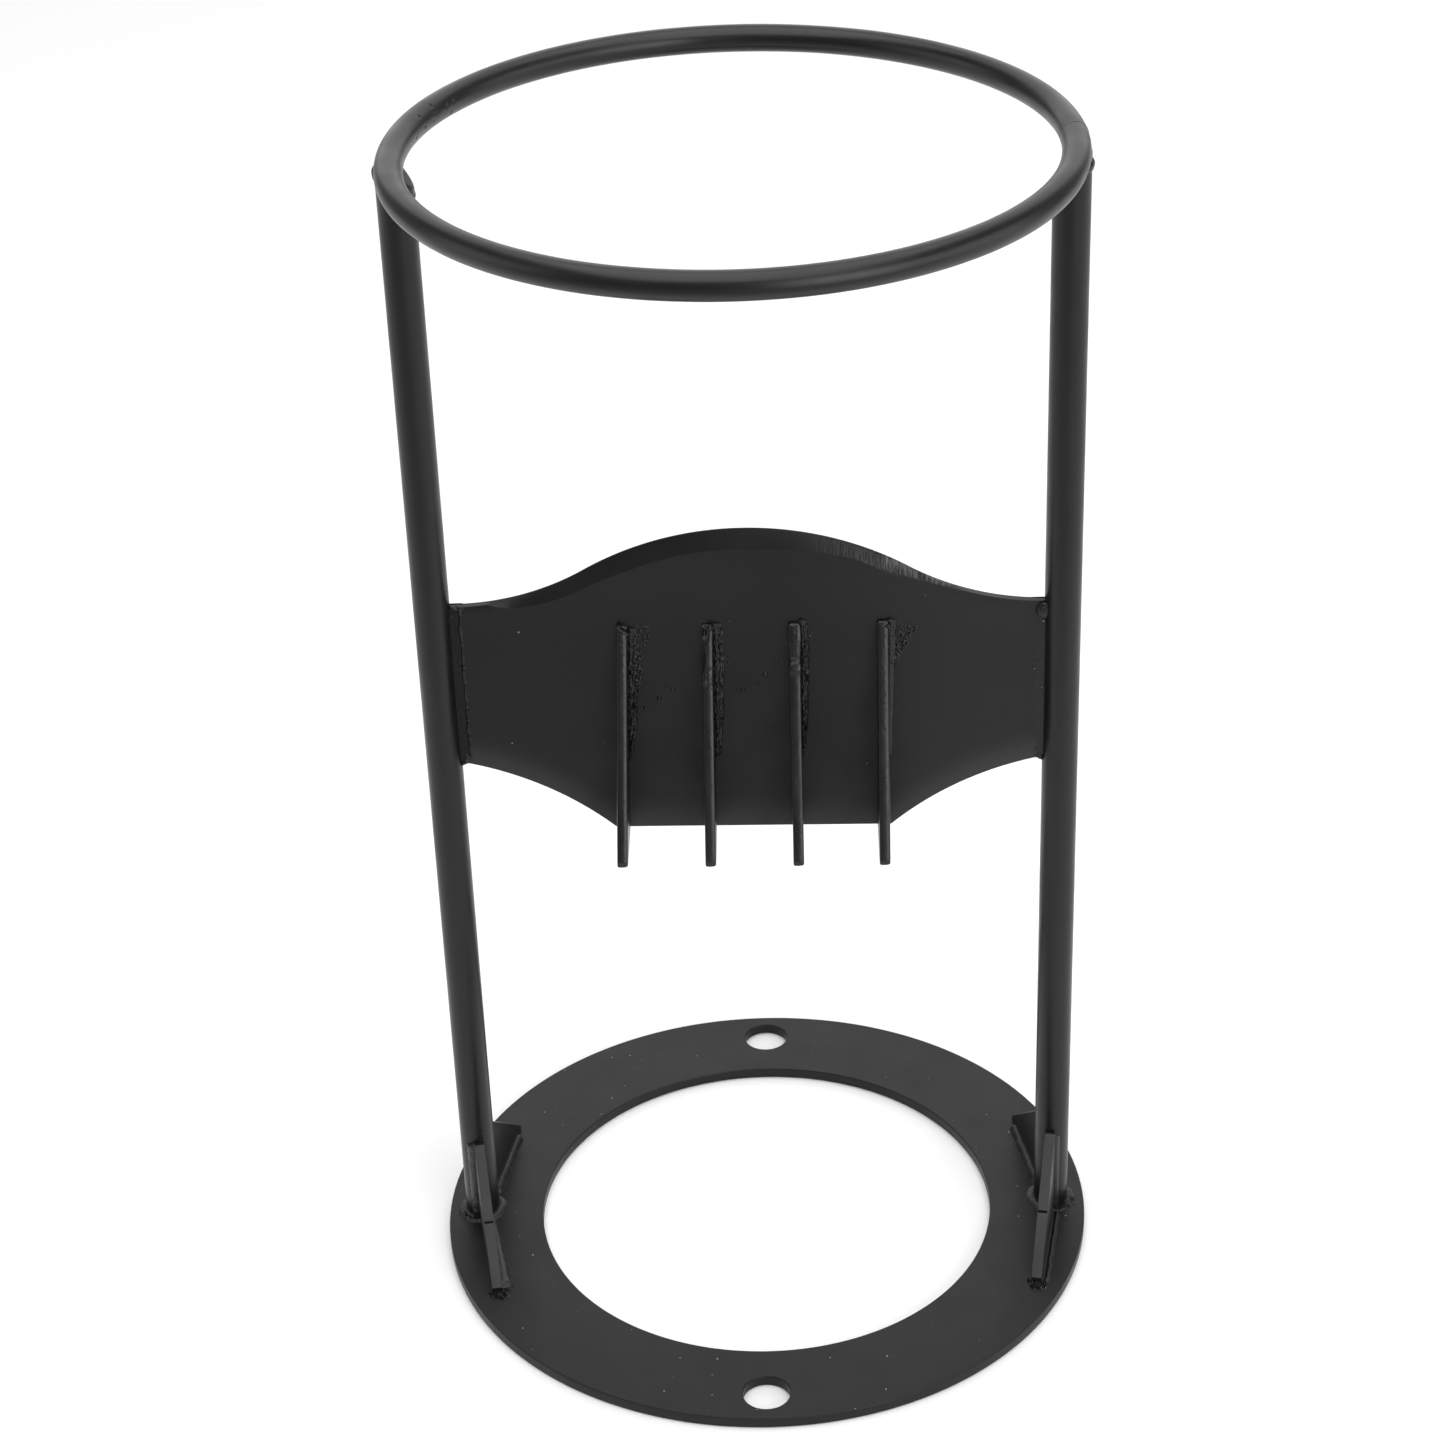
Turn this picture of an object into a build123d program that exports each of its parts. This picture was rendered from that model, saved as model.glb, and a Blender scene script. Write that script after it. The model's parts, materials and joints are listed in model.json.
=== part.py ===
# Kindling splitter: a one-piece welded steel frame that is bolted to a chopping block.
# Millimetres. +X runs from the left post to the right post, -Y is the working side (the side
# that carries the fins), +Z is up. The origin is the middle of the base ring's underside.

import os
from math import atan2, cos, degrees, hypot, radians, sin, sqrt, tan

from build123d import *

# Base ring
BASE_OUTER_R = 115.0
BASE_INNER_R = 81.0
BASE_T = 4.0
BASE_EDGE_BREAK = 0.5
BOLT_HOLE_R = 8.0
BOLT_CIRCLE_R = 102.0

# Posts
POST_R = 6.0
POST_X = 103.0
POST_TOP_Z = 404.2

# Top hoop
HOOP_R = 104.0
HOOP_BAR_R = 4.5
HOOP_Z = 406.5
SEAM_ANGLE = 3.0
SEAM_ARC = 0.9
SEAM_PROUD = 0.2

# Splitting blade
BLADE_T = 3.0
BLADE_HALF = POST_X - POST_R
BLADE_PEAK_Z = 278.1
BLADE_SHOULDER_Z = 251.4
CROWN_R = 103.0
BLADE_BOTTOM_Z = 166.5
BLADE_FLAT_HALF = 46.5
BOTTOM_ARC_R = 108.0
BOTTOM_END_Z = 192.6
BEVEL_HEIGHT = 6.6
BEVEL_SIDE_HEIGHT = 4.4
BEVEL_HALF = 72.0
EDGE_LAND = 0.6
# The blade is welded in slightly out of level: its right end is the lower one, in degrees.
BLADE_TILT = 0.8
BLADE_PIVOT_Z = 222.0

# Spreader fins on the front of the blade
# Each fin's name, its x at the bottom and how far it leans to the right, in degrees.
FIN_T = 3.6
FINS = (
    ("fin_outer_left", -43.5, 1.8),
    ("fin_inner_left", -14.2, 0.8),
    ("fin_inner_right", 15.0, 0.3),
    ("fin_outer_right", 43.6, 0.5),
)
FIN_TOP_Z = 244.6
FIN_REACH = 26.0
FIN_TOP_BLUNT = 1.6
FIN_EDGE_R = 0.7

# Gussets at the post feet
GUSSET_T = 3.6
GUSSET_LEG = 42.0
GUSSET_H = 34.0
GUSSET_BLUNT = 1.6
FRONT_TURN = 10.0
REAR_TURN = 11.0
GUSSET_EDGE_R = 0.4

# Weld beads
FOOT_BEAD = 2.3
GUSSET_BEAD = 2.0

FRONT_Y = -BLADE_T / 2
SIDES = (("left", -1), ("right", 1))
BOTTOM_CENTRE = (Align.CENTER, Align.CENTER, Align.MIN)
TOP_CENTRE = (Align.CENTER, Align.CENTER, Align.MAX)
BEHIND_FRONT = (Align.CENTER, Align.MIN, Align.CENTER)

os.makedirs("parts", exist_ok=True)


def save(name, builder):
    builder.part.label = name
    export_step(builder.part, "parts/" + name + ".step")


def ring_arc(centre, radius, start, end):
    """Three points of an arc about centre, from the start angle to the end angle in degrees."""
    middle = (start + end) / 2
    return [
        (centre[0] + radius * cos(radians(a)), centre[1] + radius * sin(radians(a)))
        for a in (start, middle, end)
    ]


# ---------------------------------------------------------------- base ring
with BuildPart() as base_ring:
    with BuildSketch():
        Circle(BASE_OUTER_R)
        Circle(BASE_INNER_R, mode=Mode.SUBTRACT)
        with Locations((0, -BOLT_CIRCLE_R), (0, BOLT_CIRCLE_R)):
            Circle(BOLT_HOLE_R, mode=Mode.SUBTRACT)
    extrude(amount=BASE_T)
    rims = base_ring.edges().filter_by(GeomType.CIRCLE).filter_by(lambda e: e.radius > 50)
    chamfer(rims, BASE_EDGE_BREAK)
save("base_ring", base_ring)

# ---------------------------------------------------------------- posts and hoop
for side, sign in SIDES:
    with BuildPart() as post:
        with Locations((sign * POST_X, 0, BASE_T)):
            Cylinder(POST_R, POST_TOP_Z - BASE_T, align=BOTTOM_CENTRE)
        with Locations((0, 0, HOOP_Z)):
            Torus(HOOP_R, HOOP_BAR_R, mode=Mode.SUBTRACT)
    save(side + "_post", post)

# The hoop is one bent bar whose ends meet in a butt weld just behind the right post.
seam_plane = Plane.XZ.rotated((0, 0, SEAM_ANGLE + SEAM_ARC / 2))
with BuildPart() as top_hoop:
    with BuildSketch(seam_plane):
        with Locations((HOOP_R, HOOP_Z)):
            Circle(HOOP_BAR_R)
    revolve(axis=Axis.Z, revolution_arc=360 - SEAM_ARC)
save("top_hoop", top_hoop)

with BuildPart() as hoop_seam:
    with BuildSketch(Plane.XZ.rotated((0, 0, SEAM_ANGLE - SEAM_ARC / 2))):
        with Locations((HOOP_R, HOOP_Z)):
            Circle(HOOP_BAR_R + SEAM_PROUD)
    revolve(axis=Axis.Z, revolution_arc=SEAM_ARC)
    with Locations((POST_X, 0, BASE_T)):
        Cylinder(POST_R, POST_TOP_Z - BASE_T, align=BOTTOM_CENTRE, mode=Mode.SUBTRACT)
save("weld_hoop_seam", hoop_seam)

# ---------------------------------------------------------------- splitting blade
# The top edge is an ogee: a convex crown that runs tangent into a concave flank on each side.
rise = BLADE_PEAK_Z - BLADE_SHOULDER_Z
flank_r = (BLADE_HALF**2 + rise**2) / (2 * rise) - CROWN_R
crown_centre = (0.0, BLADE_PEAK_Z - CROWN_R)
flank_centre = (BLADE_HALF, BLADE_SHOULDER_Z + flank_r)
turn_angle = degrees(atan2(flank_centre[1] - crown_centre[1], flank_centre[0]))
crown_end = ring_arc(crown_centre, CROWN_R, turn_angle, turn_angle)[0]


def flank_point(x):
    """The point of the right flank at x."""
    drop = sqrt(flank_r**2 - (x - flank_centre[0]) ** 2)
    return (x, flank_centre[1] - drop)


# Centre of the hollow under each side, found from the two ends of its arc.
end_x = BLADE_HALF
mid_x = (BLADE_FLAT_HALF + end_x) / 2
mid_z = (BLADE_BOTTOM_Z + BOTTOM_END_Z) / 2
chord = hypot(end_x - BLADE_FLAT_HALF, BOTTOM_END_Z - BLADE_BOTTOM_Z)
away = sqrt(BOTTOM_ARC_R**2 - (chord / 2) ** 2)
hollow_centre = (
    mid_x + away * (BOTTOM_END_Z - BLADE_BOTTOM_Z) / chord,
    mid_z - away * (end_x - BLADE_FLAT_HALF) / chord,
)
hollow_mid_angle = atan2(mid_z - hollow_centre[1], mid_x - hollow_centre[0])
hollow_mid = (
    hollow_centre[0] + BOTTOM_ARC_R * cos(hollow_mid_angle),
    hollow_centre[1] + BOTTOM_ARC_R * sin(hollow_mid_angle),
)


def mirrored(point):
    return (-point[0], point[1])


bevel_end = flank_point(BEVEL_HALF)
bevel_mid = flank_point((crown_end[0] + BEVEL_HALF) / 2)


def bevel_outline(depth):
    """Everything above the bevel line, where the line lies depth times the bevel's height below
    the blade's top edge."""
    top = BLADE_PEAK_Z + 20
    peak = (0.0, BLADE_PEAK_Z - depth * BEVEL_HEIGHT)
    turn = (crown_end[0], crown_end[1] - depth * BEVEL_SIDE_HEIGHT)
    side = (bevel_mid[0], bevel_mid[1] - depth * 0.42 * BEVEL_SIDE_HEIGHT)
    ThreePointArc(mirrored(turn), peak, turn)
    ThreePointArc(turn, side, bevel_end)
    Line(bevel_end, (BEVEL_HALF, top))
    Line((BEVEL_HALF, top), (-BEVEL_HALF, top))
    Line((-BEVEL_HALF, top), mirrored(bevel_end))
    ThreePointArc(mirrored(bevel_end), mirrored(side), mirrored(turn))


# The blade's own plane: x runs along the blade to the right and y up, tilted about the pivot.
lean_x = sin(radians(BLADE_TILT))
lean_z = cos(radians(BLADE_TILT))
blade_plane = Plane(
    origin=(-BLADE_PIVOT_Z * lean_x, 0, BLADE_PIVOT_Z * (1 - lean_z)),
    x_dir=(lean_z, 0, -lean_x),
    z_dir=(0, -1, 0),
)


def sunk(x):
    """How much higher the tilted blade lies at x than a level one would."""
    return -x * tan(radians(BLADE_TILT))


with BuildPart() as splitting_blade:
    with BuildSketch(blade_plane):
        with BuildLine():
            out = POST_X - 2.0
            flank_mid = flank_point((crown_end[0] + BLADE_HALF) / 2)
            shoulder = (BLADE_HALF, BLADE_SHOULDER_Z)
            low_end = (end_x, BOTTOM_END_Z)
            low_start = (BLADE_FLAT_HALF, BLADE_BOTTOM_Z)
            ThreePointArc(mirrored(crown_end), (0, BLADE_PEAK_Z), crown_end)
            ThreePointArc(crown_end, flank_mid, shoulder)
            Polyline(shoulder, (out, shoulder[1]), (out, low_end[1]), low_end)
            ThreePointArc(low_end, hollow_mid, low_start)
            Line(low_start, mirrored(low_start))
            ThreePointArc(mirrored(low_start), mirrored(hollow_mid), mirrored(low_end))
            Polyline(
                mirrored(low_end), (-out, low_end[1]), (-out, shoulder[1]), mirrored(shoulder)
            )
            ThreePointArc(mirrored(shoulder), mirrored(flank_mid), mirrored(crown_end))
        make_face()
    extrude(amount=BLADE_T / 2, both=True)
    with Locations((-POST_X, 0, 0), (POST_X, 0, 0)):
        Cylinder(POST_R, HOOP_Z, align=BOTTOM_CENTRE, mode=Mode.SUBTRACT)
    # The front of the crown is ground to an edge, and the bevel runs out along the flanks.
    with BuildSketch(blade_plane.offset(-(BLADE_T / 2 - EDGE_LAND))):
        with BuildLine():
            bevel_outline(0.0)
        make_face()
    with BuildSketch(blade_plane.offset(BLADE_T / 2 + 0.12 * (BLADE_T - EDGE_LAND))):
        with BuildLine():
            bevel_outline(1.12)
        make_face()
    loft(ruled=True, mode=Mode.SUBTRACT)
save("splitting_blade", splitting_blade)

# ---------------------------------------------------------------- fins
def fin_plane(x, lean):
    """The fin's middle plane: x points away behind the blade and y runs up along the fin."""
    return Plane(
        origin=(x, FRONT_Y, BLADE_BOTTOM_Z + sunk(x)),
        x_dir=(0, 1, 0),
        z_dir=(cos(radians(lean)), 0, -sin(radians(lean))),
    )


for name, x, lean in FINS:
    fin_h = FIN_TOP_Z - BLADE_BOTTOM_Z - sunk(x)
    with BuildPart() as fin:
        with BuildSketch(fin_plane(x, lean)):
            Polygon(
                (0, 0),
                (0, fin_h),
                (-FIN_TOP_BLUNT, fin_h - 0.4),
                (-FIN_REACH, 1.2),
                (-FIN_REACH, 0),
                align=None,
            )
        extrude(amount=FIN_T / 2, both=True)
        slope = fin.faces().filter_by(lambda f: -0.999 < f.normal_at().Y < -0.8)
        fillet(slope.sort_by(SortBy.AREA)[-1].edges().sort_by(SortBy.LENGTH)[-2:], FIN_EDGE_R)
    save(name, fin)


# ---------------------------------------------------------------- gussets
def gusset_plane(sign, end, turn):
    """The gusset's own plane: x runs from the post's axis to the tip, y is up."""
    reach = (-sign * sin(radians(turn)), end * cos(radians(turn)), 0)
    return Plane(
        origin=(sign * POST_X, 0, BASE_T), x_dir=reach, z_dir=(reach[1], -reach[0], 0)
    )


ENDS = (("front", -1, FRONT_TURN), ("rear", 1, REAR_TURN))
for side, sign in SIDES:
    for end_name, end, turn in ENDS:
        with BuildPart() as gusset:
            with BuildSketch(gusset_plane(sign, end, turn)):
                tip = POST_R + GUSSET_LEG
                Polygon(
                    (POST_R - 1, 0),
                    (tip, 0),
                    (tip, GUSSET_BLUNT),
                    (POST_R + GUSSET_BLUNT, GUSSET_H),
                    (POST_R - 1, GUSSET_H),
                    align=None,
                )
            extrude(amount=GUSSET_T / 2, both=True)
            with Locations((sign * POST_X, 0, BASE_T)):
                Cylinder(POST_R, GUSSET_H + 5, align=BOTTOM_CENTRE, mode=Mode.SUBTRACT)
            slope = gusset.faces().sort_by(Axis.Z)[1:].filter_by(
                lambda f: 0.3 < f.normal_at().Z < 0.95
            )
            fillet(slope.edges().sort_by(SortBy.LENGTH)[-2:], GUSSET_EDGE_R)
        save("gusset_" + end_name + "_" + side, gusset)


# ---------------------------------------------------------------- weld beads
def corner_bead(corner, out, up, run, reach, height, length):
    """A domed bead that fills the corner between two faces, along run from the corner point."""
    frame = Plane(origin=corner, x_dir=out, z_dir=Vector(*out).cross(Vector(*up)))
    forward = 1 if frame.z_dir.dot(Vector(*run)) > 0 else -1
    with BuildSketch(frame) as section:
        with BuildLine():
            Polyline((reach, 0), (0, 0), (0, height))
            ThreePointArc((0, height), (0.62 * reach, 0.62 * height), (reach, 0))
        make_face()
    extrude(section.sketch, amount=forward * length)


# A collar of weld round the foot of each post, broken where the gussets stand.
for side, sign in SIDES:
    with BuildPart() as collar:
        with BuildSketch(Plane.XZ):
            with BuildLine():
                inside = POST_X + POST_R
                top = BASE_T + FOOT_BEAD
                Polyline((inside + FOOT_BEAD, BASE_T), (inside, BASE_T), (inside, top))
                bulge = (inside + 0.62 * FOOT_BEAD, BASE_T + 0.62 * FOOT_BEAD)
                ThreePointArc((inside, top), bulge, (inside + FOOT_BEAD, BASE_T))
            make_face()
        revolve(axis=Axis((POST_X, 0, 0), (0, 0, 1)))
        if sign < 0:
            mirror(about=Plane.YZ, mode=Mode.REPLACE)
        for end_name, end, turn in ENDS:
            with BuildSketch(gusset_plane(sign, end, turn)):
                with Locations((POST_R + 5, 3)):
                    Rectangle(14, 10)
            extrude(amount=GUSSET_T / 2, both=True, mode=Mode.SUBTRACT)
    save("weld_foot_" + side, collar)

# One bead beside each gusset along the base, and a spot of weld over each front gusset's tip. The
# bead lies on the side that faces the middle of the ring, but outside at the right front.
for side, sign in SIDES:
    for end_name, end, turn in ENDS:
        frame = gusset_plane(sign, end, turn)
        outside = end_name == "front" and side == "right"
        across = frame.z_dir
        if across.X * sign > 0:
            across = -across
        if outside:
            across = -across
        start = POST_R + FOOT_BEAD + 0.4
        finish = POST_R + GUSSET_LEG
        corner = frame.origin + frame.x_dir * start + across * (GUSSET_T / 2)
        with BuildPart() as bead:
            corner_bead(
                corner,
                tuple(across),
                (0, 0, 1),
                tuple(frame.x_dir),
                GUSSET_BEAD,
                GUSSET_BEAD,
                finish - start,
            )
            if end_name == "front":
                with Locations(frame.origin + frame.x_dir * (finish + 0.4)):
                    Sphere(2.4)
            with Locations((0, 0, BASE_T)):
                Box(2 * BASE_OUTER_R, 2 * BASE_OUTER_R, 8, align=TOP_CENTRE, mode=Mode.SUBTRACT)
            with BuildSketch(frame):
                Polygon((0, -9), (finish, -9), (finish, 9), (0, 9), align=None)
            extrude(amount=GUSSET_T / 2, both=True, mode=Mode.SUBTRACT)
        save("weld_gusset_" + end_name + "_" + side, bead)

# The blade's ends: a full front bead at the left, a flat strip with a tack on it at the right,
# and a bead behind each.
for side, sign in SIDES:
    low = BOTTOM_END_Z + 0.4 + sunk(sign * BLADE_HALF)
    height = BLADE_SHOULDER_Z - BOTTOM_END_Z - 0.8
    wide = 3.4 if side == "left" else 4.6
    proud = 2.4 if side == "left" else 0.7
    root = POST_X - 4
    with BuildPart() as bead:
        with BuildSketch(Plane.XY.offset(low)):
            Polygon(
                (sign * root, FRONT_Y),
                (sign * (BLADE_HALF - wide), FRONT_Y),
                (sign * (BLADE_HALF - 0.4), FRONT_Y - 0.72 * proud),
                (sign * (BLADE_HALF + 0.3), FRONT_Y - proud),
                (sign * root, FRONT_Y - proud),
                align=None,
            )
            Polygon(
                (sign * root, -FRONT_Y),
                (sign * (BLADE_HALF - 3.0), -FRONT_Y),
                (sign * (BLADE_HALF - 0.4), 1.7 - FRONT_Y),
                (sign * root, 2.4 - FRONT_Y),
                align=None,
            )
        extrude(amount=height)
        if side == "right":
            with Locations((BLADE_HALF - 1.4, FRONT_Y - 0.3, low + height - 2.2)):
                Sphere(2.2)
            with Locations((0, FRONT_Y, 0)):
                Box(2 * POST_X, 6, 600, align=BEHIND_FRONT, mode=Mode.SUBTRACT)
            with BuildSketch(Plane.XY.offset(low)):
                Polygon(
                    (root, -FRONT_Y),
                    (BLADE_HALF - 3.0, -FRONT_Y),
                    (BLADE_HALF - 0.4, 1.7 - FRONT_Y),
                    (root, 2.4 - FRONT_Y),
                    align=None,
                )
            extrude(amount=height)
        with Locations((sign * POST_X, 0, 0)):
            Cylinder(POST_R, HOOP_Z, align=BOTTOM_CENTRE, mode=Mode.SUBTRACT)
    save("weld_blade_" + side, bead)

# A bead down the right of each fin, wide where the torch started and thin where it ran out.
# Each row is the height above BEAD_LEVEL and the bead's width there.
BEAD_LEVEL = 167.2
FIN_BEADS = (
    ((75.0, 3.4), (65.0, 3.2), (50.0, 3.0), (38.0, 2.8), (26.0, 1.0)),
    ((75.0, 3.8), (57.0, 3.4), (42.0, 3.0), (32.0, 2.4), (27.0, 1.2)),
    ((75.0, 2.6), (67.0, 3.2), (55.0, 3.0), (40.0, 2.4), (27.0, 1.4)),
    ((76.0, 2.6), (67.0, 2.6), (60.0, 2.4), (43.0, 2.2), (26.0, 1.4)),
)
FIN_BEAD_DEPTH = 1.5
for (name, x, lean), rows in zip(FINS, FIN_BEADS):
    middle = fin_plane(x, lean)
    rise = (BEAD_LEVEL - BLADE_BOTTOM_Z - sunk(x)) * middle.y_dir
    front = Plane(
        origin=middle.origin + middle.z_dir * (FIN_T / 2) + rise,
        x_dir=middle.z_dir,
        z_dir=(0, -1, 0),
    )
    with BuildPart() as bead:
        with BuildSketch(front):
            root = [(width, up) for up, width in rows]
            Polygon((0, rows[0][0]), *root, (0, rows[-1][0]), align=None)
        with BuildSketch(front.offset(FIN_BEAD_DEPTH)):
            crest = [(0.35 * width, 0.98 * up + 0.6) for up, width in rows]
            Polygon((0, crest[0][1]), *crest, (0, crest[-1][1]), align=None)
        loft(ruled=True)
    save("weld_" + name, bead)

# A bead round each post's top, under the hoop.
for side, sign in SIDES:
    with BuildPart() as bead:
        with BuildSketch(Plane.XZ):
            with BuildLine():
                inside = POST_X + POST_R
                Line((inside, POST_TOP_Z - 4.2), (inside, POST_TOP_Z))
                bulge = (inside + 1.0, POST_TOP_Z - 2.0)
                ThreePointArc((inside, POST_TOP_Z), bulge, (inside, POST_TOP_Z - 4.2))
            make_face()
        revolve(axis=Axis((POST_X, 0, 0), (0, 0, 1)))
        if sign < 0:
            mirror(about=Plane.YZ, mode=Mode.REPLACE)
        with Locations((0, 0, HOOP_Z)):
            Torus(HOOP_R, HOOP_BAR_R + 0.25, mode=Mode.SUBTRACT)
    save("weld_hoop_" + side, bead)

# Drops of spatter left on the front of the blade, in two trails that rise to the right.
SPATTER = (
    (-34.6, 213.5, 0.7),
    (-30.0, 217.0, 0.8),
    (-25.4, 220.2, 0.6),
    (-27.5, 221.6, 0.5),
    (-2.1, 219.3, 0.7),
    (-3.8, 219.7, 0.4),
    (2.6, 221.8, 0.6),
    (5.4, 225.2, 0.8),
    (9.4, 230.0, 0.5),
)
with BuildPart() as spatter:
    for x, z, radius in SPATTER:
        with Locations((x, FRONT_Y, z)):
            Sphere(radius)
    with Locations((0, FRONT_Y, 0)):
        Box(2 * BLADE_HALF, 6, 600, align=BEHIND_FRONT, mode=Mode.SUBTRACT)
save("weld_spatter", spatter)
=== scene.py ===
import json
import math
import random

import bmesh
import bpy
from mathutils import Matrix, Vector, noise


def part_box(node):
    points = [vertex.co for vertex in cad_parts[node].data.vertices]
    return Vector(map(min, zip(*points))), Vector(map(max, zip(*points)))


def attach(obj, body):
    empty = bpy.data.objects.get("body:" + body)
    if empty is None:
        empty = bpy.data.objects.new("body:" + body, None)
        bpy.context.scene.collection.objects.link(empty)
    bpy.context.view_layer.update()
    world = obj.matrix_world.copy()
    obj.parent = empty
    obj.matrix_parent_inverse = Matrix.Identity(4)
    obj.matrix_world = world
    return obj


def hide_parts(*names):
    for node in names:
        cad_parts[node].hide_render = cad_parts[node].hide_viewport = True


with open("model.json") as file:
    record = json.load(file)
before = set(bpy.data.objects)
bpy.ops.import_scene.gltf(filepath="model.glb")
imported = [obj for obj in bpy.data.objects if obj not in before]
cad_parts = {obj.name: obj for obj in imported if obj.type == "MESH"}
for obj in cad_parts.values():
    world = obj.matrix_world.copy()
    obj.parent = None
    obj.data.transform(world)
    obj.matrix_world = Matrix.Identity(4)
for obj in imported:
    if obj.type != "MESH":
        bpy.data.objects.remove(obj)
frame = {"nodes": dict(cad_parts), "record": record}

MM = 0.001
X, Y, Z = Vector((1, 0, 0)), Vector((0, 1, 0)), Vector((0, 0, 1))
record = frame["record"]
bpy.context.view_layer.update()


# ------------------------ sizes, read from the frame
def span(node):
    """The low and high corners of a node's box, in millimetres."""
    low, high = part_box(node)
    return low / MM, high / MM


base_low, base_high = span("base_ring")
BASE_R = base_high.x
BASE_TOP = base_high.z
ring_mesh = frame["nodes"]["base_ring"].data
BASE_INNER = min(math.hypot(v.co.x, v.co.y) for v in ring_mesh.vertices) / MM
anchor = next(m for m in record["mounts"] if m["name"] == "anchor_bolts")["dims"]
HOLE_R = anchor["hole_r_mm"]
HOLE_Y = anchor["spacing_y_mm"] / 2

left_low, left_high = span("left_post")
right_low, right_high = span("right_post")
POST_R = (left_high.y - left_low.y) / 2
POST_X = (right_low.x + right_high.x) / 2
POST_TOP = left_high.z

hoop_low, hoop_high = span("top_hoop")
BAR_R = (hoop_high.z - hoop_low.z) / 2
HOOP_Z = (hoop_high.z + hoop_low.z) / 2
HOOP_R = hoop_high.y - BAR_R

blade_low, blade_high = span("splitting_blade")
FRONT_Y = blade_low.y
BACK_Y = blade_high.y
PEAK_Z = blade_high.z
BLADE_HALF = POST_X - POST_R
BLADE_TILT = 0.8
TILT = math.tan(math.radians(BLADE_TILT))
SHOULDER_DROP = 26.7
BOTTOM_FLAT = 46.5
FOOT_Z = blade_low.z + TILT * BOTTOM_FLAT
SHOULDER_Z = PEAK_Z - SHOULDER_DROP

FIN_T = 3.6
FIN_REACH = FRONT_Y - span("fin_outer_right")[0].y
FIN_TOP = span("fin_outer_right")[1].z
# Each fin's node, its x at the bottom and how far it leans to the right, in degrees.
FINS = (
    ("fin_outer_left", -43.5, 1.8),
    ("fin_inner_left", -14.2, 0.8),
    ("fin_inner_right", 15.0, 0.3),
    ("fin_outer_right", 43.6, 0.5),
)
GUSSET_T = 3.6
GUSSET_LEG = 42.0
GUSSET_H = span("gusset_front_left")[1].z - BASE_TOP
# Each gusset's name, its side (-1 left), its end (-1 front) and its turn inwards, in degrees.
GUSSETS = (
    ("front_left", -1, -1, 10.0),
    ("front_right", 1, -1, 10.0),
    ("rear_left", -1, 1, 11.0),
    ("rear_right", 1, 1, 11.0),
)


# ------------------------ mesh helpers
def added(name, data):
    """A new object in the scene."""
    thing = bpy.data.objects.new(name, data)
    bpy.context.scene.collection.objects.link(thing)
    return thing


def around_in(count):
    """Evenly spaced angles round a full turn."""
    return [2 * math.pi * i / count for i in range(count)]


def piece(name, points, faces, material, nodes, slot, smooth=40.0, marks=None, flat=False):
    """A finished mesh piece in millimetre coordinates, riding on the frame."""
    mesh = bpy.data.meshes.new(name)
    mesh.from_pydata([tuple(c * MM for c in p) for p in points], [], faces)
    for label, values in (marks or {}).items():
        mesh.attributes.new(label, "FLOAT", "POINT").data.foreach_set("value", values)
    bm = bmesh.new()
    bm.from_mesh(mesh)
    bmesh.ops.recalc_face_normals(bm, faces=bm.faces)
    bm.to_mesh(mesh)
    bm.free()
    mesh.shade_smooth()
    mesh.set_sharp_from_angle(angle=math.radians(smooth))
    if flat:
        for face in mesh.polygons:
            face.use_smooth = abs(face.normal.z) < 0.999
    thing = added(name, mesh)
    mesh.materials.append(material)
    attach(thing, "root")
    if nodes:
        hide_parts(*nodes)
    return thing


def skin(rings, cyclic=False):
    """Points and faces of a skin over closed rings of equal length, capped unless cyclic."""
    size = len(rings[0])
    points = [p for ring in rings for p in ring]
    faces = []
    last = len(rings) if cyclic else len(rings) - 1
    for i in range(last):
        a, b = i * size, ((i + 1) % len(rings)) * size
        for j in range(size):
            k = (j + 1) % size
            faces.append((a + j, a + k, b + k, b + j))
    if not cyclic:
        faces.append(tuple(range(size - 1, -1, -1)))
        faces.append(tuple(range((len(rings) - 1) * size, len(rings) * size)))
    return points, faces


def grain(x, y, z, scale, seed=0.0):
    """Smooth noise between about -1 and 1, with features of the given size."""
    return noise.noise(Vector((x / scale + seed, y / scale - seed, z / scale + 2 * seed)))


def rough(x, y, z, scale, seed=0.0, octaves=3):
    """Layered noise, each layer half the size of the one before."""
    total = 0.0
    weight = 1.0
    for k in range(octaves):
        total += weight * grain(x, y, z, scale / 2**k, seed + 7.3 * k)
        weight *= 0.55
    return total


def smooth_step(x, low, high):
    """A smooth rise from 0 at low to 1 at high."""
    t = min(1.0, max(0.0, (x - low) / (high - low)))
    return t * t * (3 - 2 * t)


def bump_at(x, centre, width):
    """A smooth bump of height one at the centre."""
    return math.exp(-(((x - centre) / width) ** 2))


def between(rows, x):
    """Straight-line reading of a short table of (x, value) rows in rising x."""
    if x <= rows[0][0]:
        return rows[0][1]
    for (x1, v1), (x2, v2) in zip(rows, rows[1:]):
        if x <= x2:
            return v1 + (v2 - v1) * (x - x1) / (x2 - x1)
    return rows[-1][1]


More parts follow.
